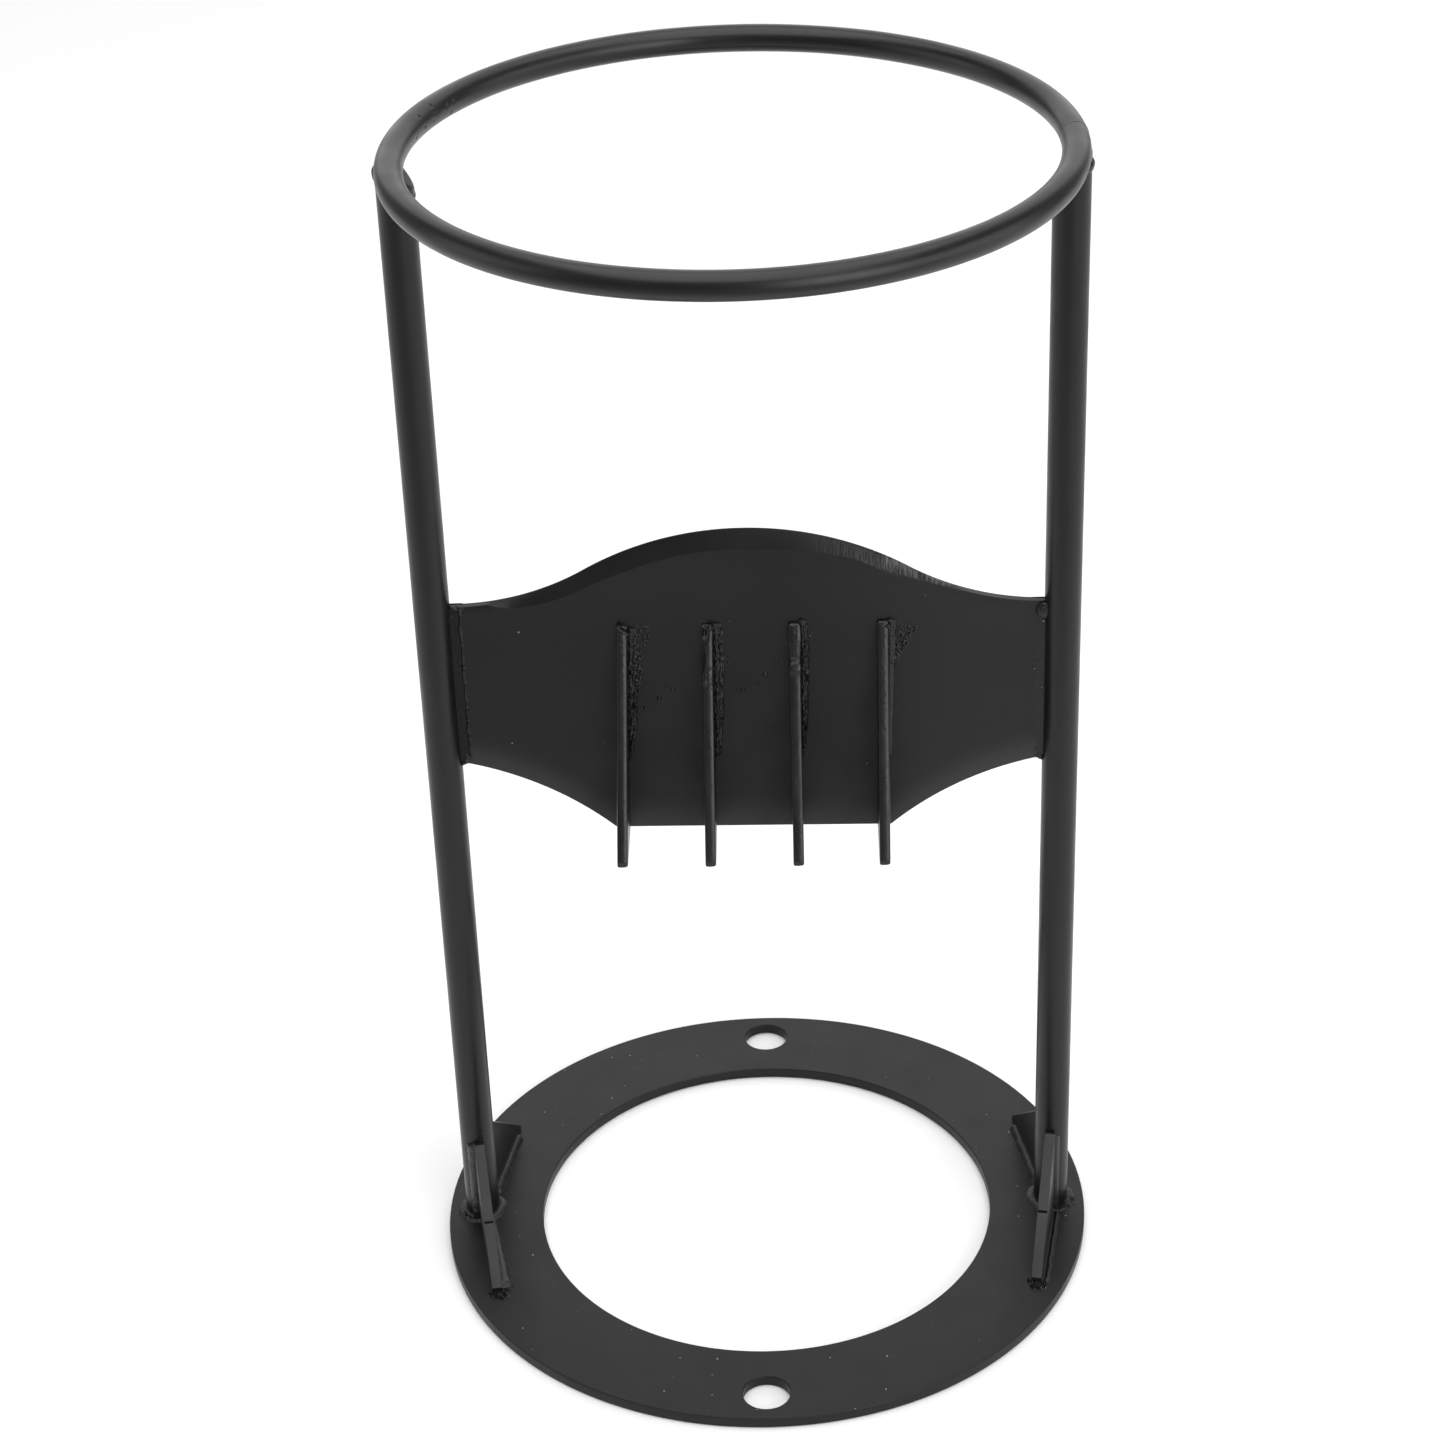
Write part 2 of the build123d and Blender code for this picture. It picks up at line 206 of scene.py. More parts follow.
def plate(outline, thickness, to_world, radius, wobble=0.05, seed=0.0, step=2.0):
    """A flat plate with rounded edges from an outline in its own plane, standing in the world."""
    dense = []
    count = len(outline)
    for i, a in enumerate(outline):
        b = outline[(i + 1) % count]
        pieces_needed = max(1, int(math.dist(a, b) / step))
        for k in range(pieces_needed):
            t = k / pieces_needed
            dense.append((a[0] + t * (b[0] - a[0]), a[1] + t * (b[1] - a[1])))
    bm = bmesh.new()
    low = [bm.verts.new((x, y, -thickness / 2)) for x, y in dense]
    high = [bm.verts.new((x, y, thickness / 2)) for x, y in dense]
    bm.faces.new(low[::-1])
    bm.faces.new(high)
    for i in range(len(dense)):
        j = (i + 1) % len(dense)
        bm.faces.new((low[i], low[j], high[j], high[i]))
    bm.normal_update()
    rim = [e for e in bm.edges if e.calc_face_angle(0.0) > 0.35]
    bmesh.ops.bevel(
        bm, geom=rim, offset=radius, segments=3, profile=0.6, affect="EDGES", clamp_overlap=True
    )
    bmesh.ops.remove_doubles(bm, verts=bm.verts, dist=1e-4)
    bm.verts.index_update()
    points = []
    for v in bm.verts:
        side = 1 if v.co.z > 0 else -1
        push = wobble * grain(v.co.x, v.co.y, side * 9, 6.0, seed)
        points.append(to_world @ Vector((v.co.x, v.co.y, v.co.z + push)))
    faces = [tuple(v.index for v in f.verts) for f in bm.faces]
    bm.free()
    return points, faces


def crust(corner, u_dir, v_dir, n_dir, u_range, v_range, step, height, floor=0.35):
    """A closed crust of weld: height(u, v) above the plane through corner, on a buried floor."""
    nu = max(2, round((u_range[1] - u_range[0]) / step))
    nv = max(2, round((v_range[1] - v_range[0]) / step))
    top = []
    bottom = []
    for j in range(nv + 1):
        v = v_range[0] + (v_range[1] - v_range[0]) * j / nv
        for i in range(nu + 1):
            u = u_range[0] + (u_range[1] - u_range[0]) * i / nu
            place = corner + u_dir * u + v_dir * v
            lift = height(u, v)
            top.append(place + n_dir * max(-floor / 2, lift))
            bottom.append(place - n_dir * floor)
    wide = nu + 1
    shift = len(top)
    faces = []
    for j in range(nv):
        for i in range(nu):
            a = j * wide + i
            faces.append((a, a + 1, a + 1 + wide, a + wide))
            faces.append((shift + a + wide, shift + a + 1 + wide, shift + a + 1, shift + a))
    edge = list(range(nu))
    edge += [nu + j * wide for j in range(nv)]
    edge += [nv * wide + nu - i for i in range(nu)]
    edge += [(nv - j) * wide for j in range(nv)]
    for i, a in enumerate(edge):
        b = edge[(i + 1) % len(edge)]
        faces.append((a, a + shift, b + shift, b))
    return top + bottom, faces


def blob(centre, long_axis, length, width, seed, lumpy=0.12, depth=None):
    """A closed lump of weld metal, drawn out along one axis."""
    long_axis = Vector(long_axis).normalized()
    out = Vector((0, -1, 0))
    if abs(long_axis.dot(out)) > 0.9:
        out = Vector((1, 0, 0))
    side = long_axis.cross(out).normalized()
    out = side.cross(long_axis)
    depth = depth or width
    rows, around = 14, 20
    rings = []
    for i in range(rows + 1):
        b = math.pi * (0.02 + 0.96 * i / rows)
        ring = []
        for a in around_in(around):
            shape = (
                math.cos(b) * length,
                math.sin(b) * math.cos(a) * width,
                math.sin(b) * math.sin(a) * depth,
            )
            swell = 1 + lumpy * rough(shape[0], shape[1], shape[2], 0.8 * width, seed)
            ring.append(
                Vector(centre)
                + (long_axis * shape[0] + side * shape[1] + out * shape[2]) * swell
            )
        rings.append(ring)
    return skin(rings)


def joined(*meshes):
    """Several meshes as one."""
    points, faces = [], []
    for more_points, more_faces in meshes:
        shift = len(points)
        points += list(more_points)
        faces += [tuple(i + shift for i in f) for f in more_faces]
    return points, faces


def weld(name, meshes, material, *nodes):
    """A finished piece of weld metal made of one or more meshes."""
    piece(name, *joined(*meshes), material, nodes, "weld_paint", 60)


def round_to(radius, height):
    """The same heights over an upright round bar, with everything else just under its skin."""

    def above(u, v):
        return height(u, v) - 0.12 - radius + math.sqrt(radius**2 - u * u)

    return above


def lifted(height):
    """The same heights, with everything else kept just under the surface."""

    def above(u, v):
        return height(u, v) - 0.12

    return above


def drops(spots):
    """The height at (u, v) of scattered round drops, each given as u, v, radius and height."""

    def height(u, v):
        best = 0.0
        for cu, cv, r, h in spots:
            if abs(u - cu) < r and abs(v - cv) < r:
                d = ((u - cu) ** 2 + (v - cv) ** 2) / (r * r)
                if d < 1:
                    best = max(best, h * math.sqrt(1 - d))
        return best

    return height


# ------------------------ materials
def set_range(node, *values):
    """Set a map-range node: from low, from high, to low, to high."""
    for key, value in zip(("From Min", "From Max", "To Min", "To Max"), values):
        node.inputs[key].default_value = value


def paint(
    name, tone, roughness, specular, peel=0.35, peel_scale=1100.0, dust=0.0, dust_scale=95.0,
    dust_turn=0.0, patch=0.15, worn=False,
):
    """Satin black powder coat: orange peel, faint patches in tone and sheen, and dust specks."""
    made = bpy.data.materials.new(name)
    made.use_nodes = True
    tree = made.node_tree
    tree.nodes.clear()
    new = tree.nodes.new
    link = tree.links.new
    out = new("ShaderNodeOutputMaterial")
    shader = new("ShaderNodeBsdfPrincipled")
    link(shader.outputs["BSDF"], out.inputs["Surface"])
    shader.inputs["Specular IOR Level"].default_value = specular
    shader.inputs["IOR"].default_value = 1.5
    place = new("ShaderNodeTexCoord").outputs["Object"]

    def noise_of(scale, detail, vector=place):
        node = new("ShaderNodeTexNoise")
        node.inputs["Scale"].default_value = scale
        node.inputs["Detail"].default_value = detail
        link(vector, node.inputs["Vector"])
        return node.outputs["Fac"]

    def ramp(source, low, high, from_low=0.35, from_high=0.65):
        node = new("ShaderNodeMapRange")
        set_range(node, from_low, from_high, low, high)
        link(source, node.inputs["Value"])
        return node.outputs["Result"]

    def maths(kind, first, second):
        node = new("ShaderNodeMath")
        node.operation = kind
        for socket, value in zip(node.inputs, (first, second)):
            if isinstance(value, float):
                socket.default_value = value
            else:
                link(value, socket)
        return node.outputs[0]

    def blend(factor, first, second):
        node = new("ShaderNodeMix")
        node.data_type = "RGBA"
        link(factor, node.inputs["Factor"])
        for socket, value in ((node.inputs["A"], first), (node.inputs["B"], second)):
            if isinstance(value, tuple):
                socket.default_value = value
            else:
                link(value, socket)
        return node.outputs["Result"]

    def stretched(x, y, z, turn=0.0):
        node = new("ShaderNodeMapping")
        node.inputs["Scale"].default_value = (x, y, z)
        node.inputs["Rotation"].default_value = (turn, 0, 0)
        link(place, node.inputs["Vector"])
        return node.outputs["Vector"]

    dark = (tone * (1 - patch), tone * (1 - patch), tone * (1 - patch) * 1.03, 1)
    pale = (tone * (1 + patch), tone * (1 + patch), tone * (1 + patch) * 1.03, 1)
    colour = blend(ramp(noise_of(28.0, 3.0), 0.0, 1.0), dark, pale)
    sheen = ramp(noise_of(60.0, 4.0), roughness - 0.05, roughness + 0.05)

    if dust:
        cells = new("ShaderNodeTexVoronoi")
        cells.voronoi_dimensions = "2D" if dust_turn is not None else "3D"
        cells.inputs["Scale"].default_value = dust_scale
        link(stretched(1, 1, 1, dust_turn or 0.0), cells.inputs["Vector"])
        split = new("ShaderNodeSeparateColor")
        link(cells.outputs["Color"], split.inputs["Color"])
        size = ramp(split.outputs["Red"], 0.010, 0.034, 0.0, 1.0)
        near = maths("LESS_THAN", cells.outputs["Distance"], size)
        chosen = maths("GREATER_THAN", split.outputs["Green"], 1.0 - dust)
        shade = maths("POWER", split.outputs["Blue"], 2.2)
        here = maths("MULTIPLY", maths("MULTIPLY", near, chosen), shade)
        colour = blend(here, colour, (0.36, 0.36, 0.35, 1))

    bump = new("ShaderNodeBump")
    bump.inputs["Strength"].default_value = peel
    bump.inputs["Distance"].default_value = 0.00006
    link(noise_of(peel_scale, 2.0), bump.inputs["Height"])
    normal = bump.outputs["Normal"]

    if worn:
        # where the grinder cut through the coat, fine upright strokes of pale steel show
        mask = new("ShaderNodeAttribute")
        mask.attribute_name = "worn"
        strokes = noise_of(1.0, 3.0, stretched(2600.0, 300.0, 110.0))
        kept = maths("MULTIPLY", ramp(strokes, 1.0, 0.0, 0.36, 0.66), 0.95)
        bare = maths("SUBTRACT", mask.outputs["Fac"], kept)
        bare = ramp(bare, 0.0, 1.0, 0.0, 0.9)
        # painted light: a per-point attribute pales the blade's coat along its lower edge, towards
        # its right and near its top, standing in for reflected light
        tint = new("ShaderNodeAttribute")
        tint.attribute_name = "tint"
        colour = blend(tint.outputs["Fac"], colour, (0.05, 0.05, 0.05, 1))
        colour = blend(bare, colour, (0.10, 0.10, 0.098, 1))
        sheen = maths("SUBTRACT", sheen, maths("MULTIPLY", bare, 0.08))
        second = new("ShaderNodeBump")
        second.inputs["Distance"].default_value = 0.00012
        link(maths("MULTIPLY", mask.outputs["Fac"], 0.9), second.inputs["Strength"])
        link(strokes, second.inputs["Height"])
        link(normal, second.inputs["Normal"])
        normal = second.outputs["Normal"]

    link(colour, shader.inputs["Base Color"])
    link(sheen, shader.inputs["Roughness"])
    link(normal, shader.inputs["Normal"])
    return made


QUARTER = math.pi / 2
PLATE = paint("plate_coat", 0.0060, 0.42, 0.28, dust=0.45, dust_scale=120.0)
HOOP = paint("hoop_coat", 0.0045, 0.34, 0.40, peel=0.5, dust=0.10, dust_turn=None, dust_scale=300.0)
POST = paint("post_coat", 0.0045, 0.34, 0.34, peel=0.3, dust=0.06, dust_turn=None, dust_scale=300.0)
BLADE = paint("blade_coat", 0.0030, 0.40, 0.27, peel=0.25, dust=0.10, dust_turn=QUARTER, worn=True)
FIN = paint("fin_coat", 0.0042, 0.31, 0.42, peel=0.5, peel_scale=900.0)
GUSSET = paint("gusset_coat", 0.0085, 0.40, 0.40, peel=0.4)
WELD = paint("weld_coat", 0.0050, 0.34, 0.36, peel=0.8, peel_scale=1500.0)
BEAD = paint("bead_coat", 0.0045, 0.34, 0.36, peel=0.8, peel_scale=1500.0)
# painted shade: a darker, duller coat for the pitted weld drops, deepening the shade in their pits
PIT_SHADE = paint("pit_shade_coat", 0.0022, 0.60, 0.16, peel=1.0, peel_scale=1800.0)
# painted shade: a darker, duller coat for the left end's hollow bead, so the hollow beside the post
# reads as shaded
BLADE_ROOT = paint("blade_root_coat", 0.0026, 0.46, 0.20, peel=0.8, peel_scale=1500.0)
# painted highlights: a pale coat for small drops, standing in for glints on weld spatter
GLINT = paint("glint_coat", 0.12, 0.40, 0.40, peel=1.0, peel_scale=1800.0)


# ------------------------ base ring
def circle(radius, count, centre=(0.0, 0.0)):
    """Points round a circle."""
    x, y = centre
    return [(x + radius * math.cos(a), y + radius * math.sin(a)) for a in around_in(count)]


def make_base():
    """The flat ring, filled between its outlines with softened edges."""
    curve = bpy.data.curves.new("ring_outline", "CURVE")
    curve.dimensions = "2D"
    curve.fill_mode = "BOTH"
    soft = 0.45
    curve.extrude = ((base_high.z - base_low.z) / 2 - soft) * MM
    curve.bevel_depth = soft * MM
    curve.bevel_resolution = 3
    curve.offset = -soft * MM
    loops = [
        circle(BASE_R - 0.04, 360),
        circle(BASE_INNER, 288),
        circle(HOLE_R, 72, (0, HOLE_Y)),
        circle(HOLE_R, 72, (0, -HOLE_Y)),
    ]
    for loop in loops:
        spline = curve.splines.new("POLY")
        spline.points.add(len(loop) - 1)
        for point, (x, y) in zip(spline.points, loop):
            point.co = (x * MM, y * MM, 0, 1)
        spline.use_cyclic_u = True
    thing = added("ring_outline", curve)
    bpy.context.view_layer.update()
    solid = bpy.data.meshes.new_from_object(
        thing.evaluated_get(bpy.context.evaluated_depsgraph_get())
    )
    bm = bmesh.new()
    bm.from_mesh(solid)
    bmesh.ops.remove_doubles(bm, verts=bm.verts, dist=1e-6)
    bm.verts.index_update()
    middle = (base_low.z + base_high.z) / 2
    points = [(v.co.x / MM, v.co.y / MM, v.co.z / MM + middle) for v in bm.verts]
    faces = [tuple(v.index for v in f.verts) for f in bm.faces]
    bm.free()
    bpy.data.objects.remove(thing)
    bpy.data.curves.remove(curve)
    bpy.data.meshes.remove(solid)
    piece("ring_base", points, faces, PLATE, ["base_ring"], "plate_paint", 25, flat=True)


make_base()


# ------------------------ posts and hoop
# How far each post's top is cut away on its inner side, and from how far across it.
CUTS = {-1: (6.5, 0.15), 1: (10.0, -0.15)}


def cut_at(sign, x):
    """How much lower the post's top is at a distance x from its axis."""
    deep, start = CUTS[sign]
    return deep * max(0.0, (-sign * x / POST_R - start) / (1 - start))


def make_post(name, node, sign, seed):
    """A round bar with its top cut away on the inner side."""
    rings = []
    levels = [BASE_TOP - 0.6, BASE_TOP]
    count = 150
    levels += [BASE_TOP + (POST_TOP - 0.9 - BASE_TOP) * i / count for i in range(1, count + 1)]
    levels = [(z, 0.0) for z in levels]
    levels += [(POST_TOP - 0.45, 0.1), (POST_TOP - 0.12, 0.35)]
    levels += [(POST_TOP, inset) for inset in (0.8, 1.6, 2.4, 3.2, 4.0, 4.8, 5.6)]
    for z, inset in levels:
        near_top = smooth_step(z, POST_TOP - 26, POST_TOP)
        ring = []
        for a in around_in(64):
            r = POST_R - 0.02 + 0.02 * grain(3 * math.cos(a), 3 * math.sin(a), z, 14.0, seed)
            x = (r - inset) * math.cos(a)
            y = (r - inset) * math.sin(a)
            ring.append((sign * POST_X + x, y, z - cut_at(sign, x) * near_top))
        rings.append(ring)
    piece(name, *skin(rings), POST, [node], "bar_paint", 50)


make_post("post_left", "left_post", -1, 1.7)
make_post("post_right", "right_post", 1, 5.2)


def make_hoop():
    """The bent bar, slightly out of round, with small pits on its inner left side."""
    chance = random.Random(12)
    pits = [
        (
            math.radians(chance.uniform(152, 169)),
            math.radians(chance.uniform(125, 215)),
            chance.uniform(0.35, 0.6),
            chance.uniform(0.25, 0.45),
        )
        for _ in range(13)
    ]
    turns = []
    t = 0.0
    while t < 360.0 - 0.05:
        turns.append(math.radians(t))
        t += 0.2 if 149 < t < 172 else 0.75
    rings = []
    for t in turns:
        sway = 0.12 * grain(3 * math.cos(t), 3 * math.sin(t), 0, 1.6, 4.1)
        close = [pit for pit in pits if abs(pit[0] - t) * HOOP_R < 1.2]
        ring = []
        for a in around_in(72):
            r = BAR_R - 0.03 + 0.03 * grain(40 * math.cos(t), 40 * math.sin(t), 3 * a, 9.0, 2.2)
            for pit_t, pit_a, size, deep in close:
                d = math.hypot((t - pit_t) * HOOP_R, (a - pit_a) * BAR_R) / size
                r -= deep * math.exp(-d * d)
            radius = HOOP_R - 0.15 + sway + r * math.cos(a)
            ring.append((radius * math.cos(t), radius * math.sin(t), HOOP_Z + r * math.sin(a)))
        rings.append(ring)
    piece("hoop", *skin(rings, cyclic=True), HOOP, ["top_hoop"], "bar_paint", 60)


make_hoop()


# ------------------------ blade
CROWN_R = 103.0
RISE = PEAK_Z - SHOULDER_Z
FLANK_R = (BLADE_HALF**2 + RISE**2) / (2 * RISE) - CROWN_R
crown_z = PEAK_Z - CROWN_R
flank_z = SHOULDER_Z + FLANK_R
TURN_X = CROWN_R / (CROWN_R + FLANK_R) * BLADE_HALF
BOTTOM_R = 108.0
BOTTOM_RISE = 26.1
BOTTOM_END = FOOT_Z + BOTTOM_RISE
half_chord = math.dist((BOTTOM_FLAT, FOOT_Z), (BLADE_HALF, BOTTOM_END)) / 2
away = math.sqrt(BOTTOM_R**2 - half_chord**2)
hollow_x = (BOTTOM_FLAT + BLADE_HALF) / 2 + away * (BOTTOM_END - FOOT_Z) / (2 * half_chord)
hollow_z = (FOOT_Z + BOTTOM_END) / 2 - away * (BLADE_HALF - BOTTOM_FLAT) / (2 * half_chord)
EDGE_LAND = 0.6
# How far the ground bevel reaches down the front, by the place along the blade.
BEVEL = (
    (-85.0, 0.0), (-81.5, 1.3), (-76.8, 2.9), (-71.8, 3.5), (-67.0, 4.4), (-52.7, 5.6),
    (-38.3, 6.5), (-17.0, 6.2), (0.0, 6.5), (10.0, 6.2), (21.0, 5.3), (28.6, 4.7), (36.0, 4.1),
    (43.6, 4.5), (46.5, 4.4), (50.0, 3.7), (53.0, 2.8), (56.7, 1.8), (60.4, 1.2), (64.0, 0.7),
    (70.0, 0.0),
)


def blade_top(x):
    """The height of the crowned edge, before the blade is tilted."""
    x = min(abs(x), BLADE_HALF)
    if x < TURN_X:
        return crown_z + math.sqrt(CROWN_R**2 - x * x)
    return flank_z - math.sqrt(FLANK_R**2 - (BLADE_HALF - x) ** 2)


def blade_bottom(x):
    """The height of the lower edge: flat, then hollow, with a small fillet at the post."""
    x = min(abs(x), BLADE_HALF)
    if x < BOTTOM_FLAT:
        return FOOT_Z
    fillet = 2.0 * max(0.0, (x - 94.0) / 3.2) ** 2.5
    return hollow_z + math.sqrt(BOTTOM_R**2 - (x - hollow_x) ** 2) - fillet


def painted_light_at(x, z, low):
    """How much paler the coat is painted, as painted light: a pale band of painted reflection along
    the lower edge, a little towards the right, and a little near the top.
    """
    edge = 0.42 * (1 - smooth_step(z - low, 0, 13)) ** 1.3
    return edge + 0.14 * smooth_step(x, 10, 80) + 0.05 * smooth_step(z, 235, 262)


def make_blade():
    """The blade as upright slices, closest together where the bevel is scored."""
    xs = []
    x = -BLADE_HALF - 0.55
    while x < BLADE_HALF + 0.55:
        xs.append(x)
        x += 0.16 if 17 < x < 72 else 0.8
    xs.append(BLADE_HALF + 0.55)
    rings = []
    worn = []
    tint = []
    bevel_steps = 14
    face_steps = 30
    for x in xs:
        top = blade_top(x)
        low = blade_bottom(x)
        drop = between(BEVEL, x)
        if drop:
            drop = max(0.05, drop + 0.22 * grain(x, 0, 0, 7.0, 3.3))
        soft = 0.28
        ring = [
            (FRONT_Y, low + soft),
            (FRONT_Y + 0.3 * soft, low + 0.3 * soft),
            (FRONT_Y + soft, low),
            (BACK_Y - soft, low),
            (BACK_Y - 0.3 * soft, low + 0.3 * soft),
            (BACK_Y, low + soft),
            (BACK_Y, top - 1.2),
            (BACK_Y, top - 0.25),
            (BACK_Y - 0.07, top - 0.07),
            (BACK_Y - 0.25, top),
        ]
        marks = [0.0] * len(ring)
        edge_y = BACK_Y - EDGE_LAND
        soft_top = 0.3 * (1 - min(1.0, drop / 1.2))
        # to the right the grinder leaned back, so the bevel is rounder, brighter and scored
        lean = smooth_step(x, 40, 46)
        scored = smooth_step(x, 18, 36) * (1 - smooth_step(x, 64, 70))
        patchy = 0.08 + 0.92 * smooth_step(x, 41.5, 44.5)
        patchy *= 1 - 0.45 * bump_at(x, 57.0, 1.4)
        fringe = 0.4 * max(0.0, grain(x, 0, 0, 0.6, 5.5)) * scored
        for k in range(bevel_steps + 1):
            t = k / bevel_steps
            out = t ** (0.86 - 0.26 * lean)
            y = edge_y + (FRONT_Y + soft_top - edge_y) * out
            z = top - (drop + fringe) * t
            if scored and 0 < k < bevel_steps:
                cut = grain(x, 0, 0.25 * z, 0.42, 9.1) + 0.7 * grain(x, 0, 0.3 * z, 1.3, 4.4)
                deep = math.sin(math.pi * min(1.0, 0.12 + 0.85 * t))
                y += (0.10 + 0.10 * lean) * scored * cut * deep
            ring.append((y, z))
            fade = ((1 - 0.55 * t) if lean > 0.5 else 1.0) * (1 - smooth_step(t, 0.8, 1.0))
            stray = smooth_step(grain(x, 0, 0, 1.1, 8.2), 0.12, 0.35)
            marks.append(scored * fade * max(patchy * lean, 0.14 * stray * (1 - 0.5 * t)))
        front_top = top - max(drop + fringe, soft_top)
        for k in range(1, face_steps + 1):
            z = front_top + (low + 2 * soft - front_top) * (k / face_steps) ** 1.15
            ring.append((FRONT_Y, z))
            marks.append(0.0)
        rings.append([(x, y, z - TILT * x) for y, z in ring])
        worn += marks
        # painted light: each point's paleness stands in for light reflected onto the lower edge,
        # the right side and the top
        tint += [painted_light_at(x, z, low) for y, z in ring]
    marks = {"worn": worn, "tint": tint}
    piece("blade", *skin(rings), BLADE, ["splitting_blade"], "blade_paint", 16, marks)


make_blade()


# ------------------------ fins
def fin_frame(x, lean):
    """The fin's foot, its direction up and its direction to the right."""
    a = math.radians(lean)
    foot = Vector((x, FRONT_Y, FOOT_Z - TILT * x))
    return foot, Vector((math.sin(a), 0, math.cos(a))), Vector((math.cos(a), 0, -math.sin(a)))


def fin_shape(number, d, side):
    """A fin's half thickness on one side (-1 left, 1 right) at depth d below its top."""
    half = FIN_T / 2
    if number == 0:
        return half - (0.15 if side < 0 else 0.0) * (1 - smooth_step(d, 20, 60))
    if number == 1:
        if side < 0:
            half -= 0.75 * bump_at(d, 10.5, 4.5) + 0.2 * (1 - smooth_step(d, 15, 60))
            half += 0.45 * bump_at(d, 16.5, 2.2)
        return half + 0.1 * bump_at(d, 1.5, 2.0)
    if number == 2:
        half += 0.45 * bump_at(d, 4.5, 4.0)
        half -= 0.25 * bump_at(d, 12.0, 1.2)
        return half + 0.25 * bump_at(d, 14.5, 1.8)
    return half + 0.1 * bump_at(d, 2.0, 4.0)


def fin_front(number, d, across):
    """How far a fin's front stands out from its straight slope."""
    top = 1.1 * max(0.0, 1 - d / 2.2) ** 1.5
    if number == 0:
        return 0.10 * rough(across, d, 0, 2.0, 1.0) * (1 - smooth_step(d, 8, 20)) - top
    if number == 1:
        lump = 0.45 * bump_at(d, 16.5, 2.6) + 0.3 * bump_at(d, 13.0, 0.9)
        grit = 0.15 * rough(across, d, 0, 0.7, 2.0) * bump_at(d, 17.0, 3.0)
        pit = 1.5 * bump_at(d, 2.6, 2.0) * bump_at(across, -0.9, 0.8)
        return lump + grit - pit - 0.5 * top
    if number == 2:
        lump = 0.5 * bump_at(d, 4.5, 4.0) + 0.45 * bump_at(d, 14.5, 1.5)
        grit = 0.05 * rough(across, d, 0, 0.8, 3.0) * (1 - smooth_step(d, 12, 18))
        return lump + grit - 0.5 * bump_at(d, 11.8, 0.8) - 0.35 * top
    pitted = 0.035 * rough(across, d, 0, 0.6, 4.0) * (1 - 0.6 * smooth_step(d, 30, 60))
    return 0.2 * bump_at(d, 2.0, 4.0) + pitted - 0.3 * top


def make_fin(number, node, x, lean):
    """A spreader fin as level slices from the bottom up."""
    foot, up, right = fin_frame(x, lean)
    tall = (FIN_TOP - foot.z) / up.z
    # the front stands upright at first, then slopes back to a blunt top
    upright, blunt = 1.9, 1.5
    levels = [0.0, 0.08, 0.25, 0.5]
    count = 260
    levels += [0.5 + (tall - 1.1) * i / count for i in range(1, count + 1)]
    levels += [tall - 0.35, tall - 0.12, tall]
    rings = []
    front_steps = 30
    for v in levels:
        inset = 0.35 * max(0.0, 1 - v / 0.5) ** 2
        inset += (0.8 if number == 2 else 0.35) * max(0.0, 1 - (tall - v) / 0.6) ** 2
        d = tall - v
        share = min(1.0, max(0.0, (v - upright) / (tall - 2.3)))
        reach = FIN_REACH + (blunt - FIN_REACH) * share
        left = fin_shape(number, d, -1) - inset
        far = fin_shape(number, d, 1) - inset
        ring = [(-left, 0.3), (far, 0.3)]
        for k in range(front_steps + 1):
            # a crowned front: nearly flat to the left, rolling off towards the right
            s = 1 - 2 * k / front_steps
            wide = far if s > 0 else left
            across = math.copysign(abs(s) ** 0.8, s) * wide
            crown = (0.62, 0.5, 0.4, 0.45)[number] * (0.5 + 0.5 * s) ** 3
            crown += 0.14 * min(0.0, s) ** 2
            past = max(0.0, abs(across) - wide + 0.5) / 0.5
            round_off = 0.55 * (1 - math.sqrt(max(0.0, 1 - past**2)))
            push = fin_front(number, d, across) + 0.03 * rough(across, v, 0, 2.5, 6.0 + number)
            out = max(0.05, reach - crown - round_off - inset + push * (1 - 0.8 * abs(s) ** 6))
            ring.append((across, -out))
        rings.append([foot + right * u + up * v + Y * w for u, w in ring])
    piece("spreader_" + node[4:], *skin(rings), FIN, [node], "fin_paint", 50)


for number, (node, x, lean) in enumerate(FINS):
    make_fin(number, node, x, lean)


# ------------------------ gussets
def gusset_matrix(sign, end, turn):
    """Local x runs from the post's axis to the tip, local y up."""
    reach = Vector((-sign * math.sin(math.radians(turn)), end * math.cos(math.radians(turn)), 0))
    matrix = Matrix((reach, Z, reach.cross(Z))).transposed().to_4x4()
    matrix.translation = Vector((sign * POST_X, 0, BASE_TOP))
    return matrix


TIP = POST_R + GUSSET_LEG
BLUNT = 1.6
NICK_SHARE = 0.46
for number, (name, sign, end, turn) in enumerate(GUSSETS):
    outline = [
        (POST_R - 0.8, -0.3),
        (TIP, -0.3),
        (TIP, BLUNT),
    ]
    if end < 0:
        # a saw nick across the slope, about half way down
        nick_x = TIP + (POST_R + BLUNT - TIP) * NICK_SHARE
        nick_y = BLUNT + (GUSSET_H - BLUNT) * NICK_SHARE
        outline += [
            (nick_x + 0.62, nick_y - 0.25),
            (nick_x + 0.20, nick_y - 1.75),
            (nick_x - 0.12, nick_y - 1.75),
            (nick_x - 0.30, nick_y + 0.10),
        ]
    outline += [(POST_R + BLUNT, GUSSET_H), (POST_R - 0.8, GUSSET_H)]
    matrix = gusset_matrix(sign, end, turn)
    points, faces = plate(outline, GUSSET_T, matrix, radius=0.75, wobble=0.08, seed=8.0 + number)
    piece("gusset_plate_" + name, points, faces, GUSSET, ["gusset_" + name], "plate_paint", 35)


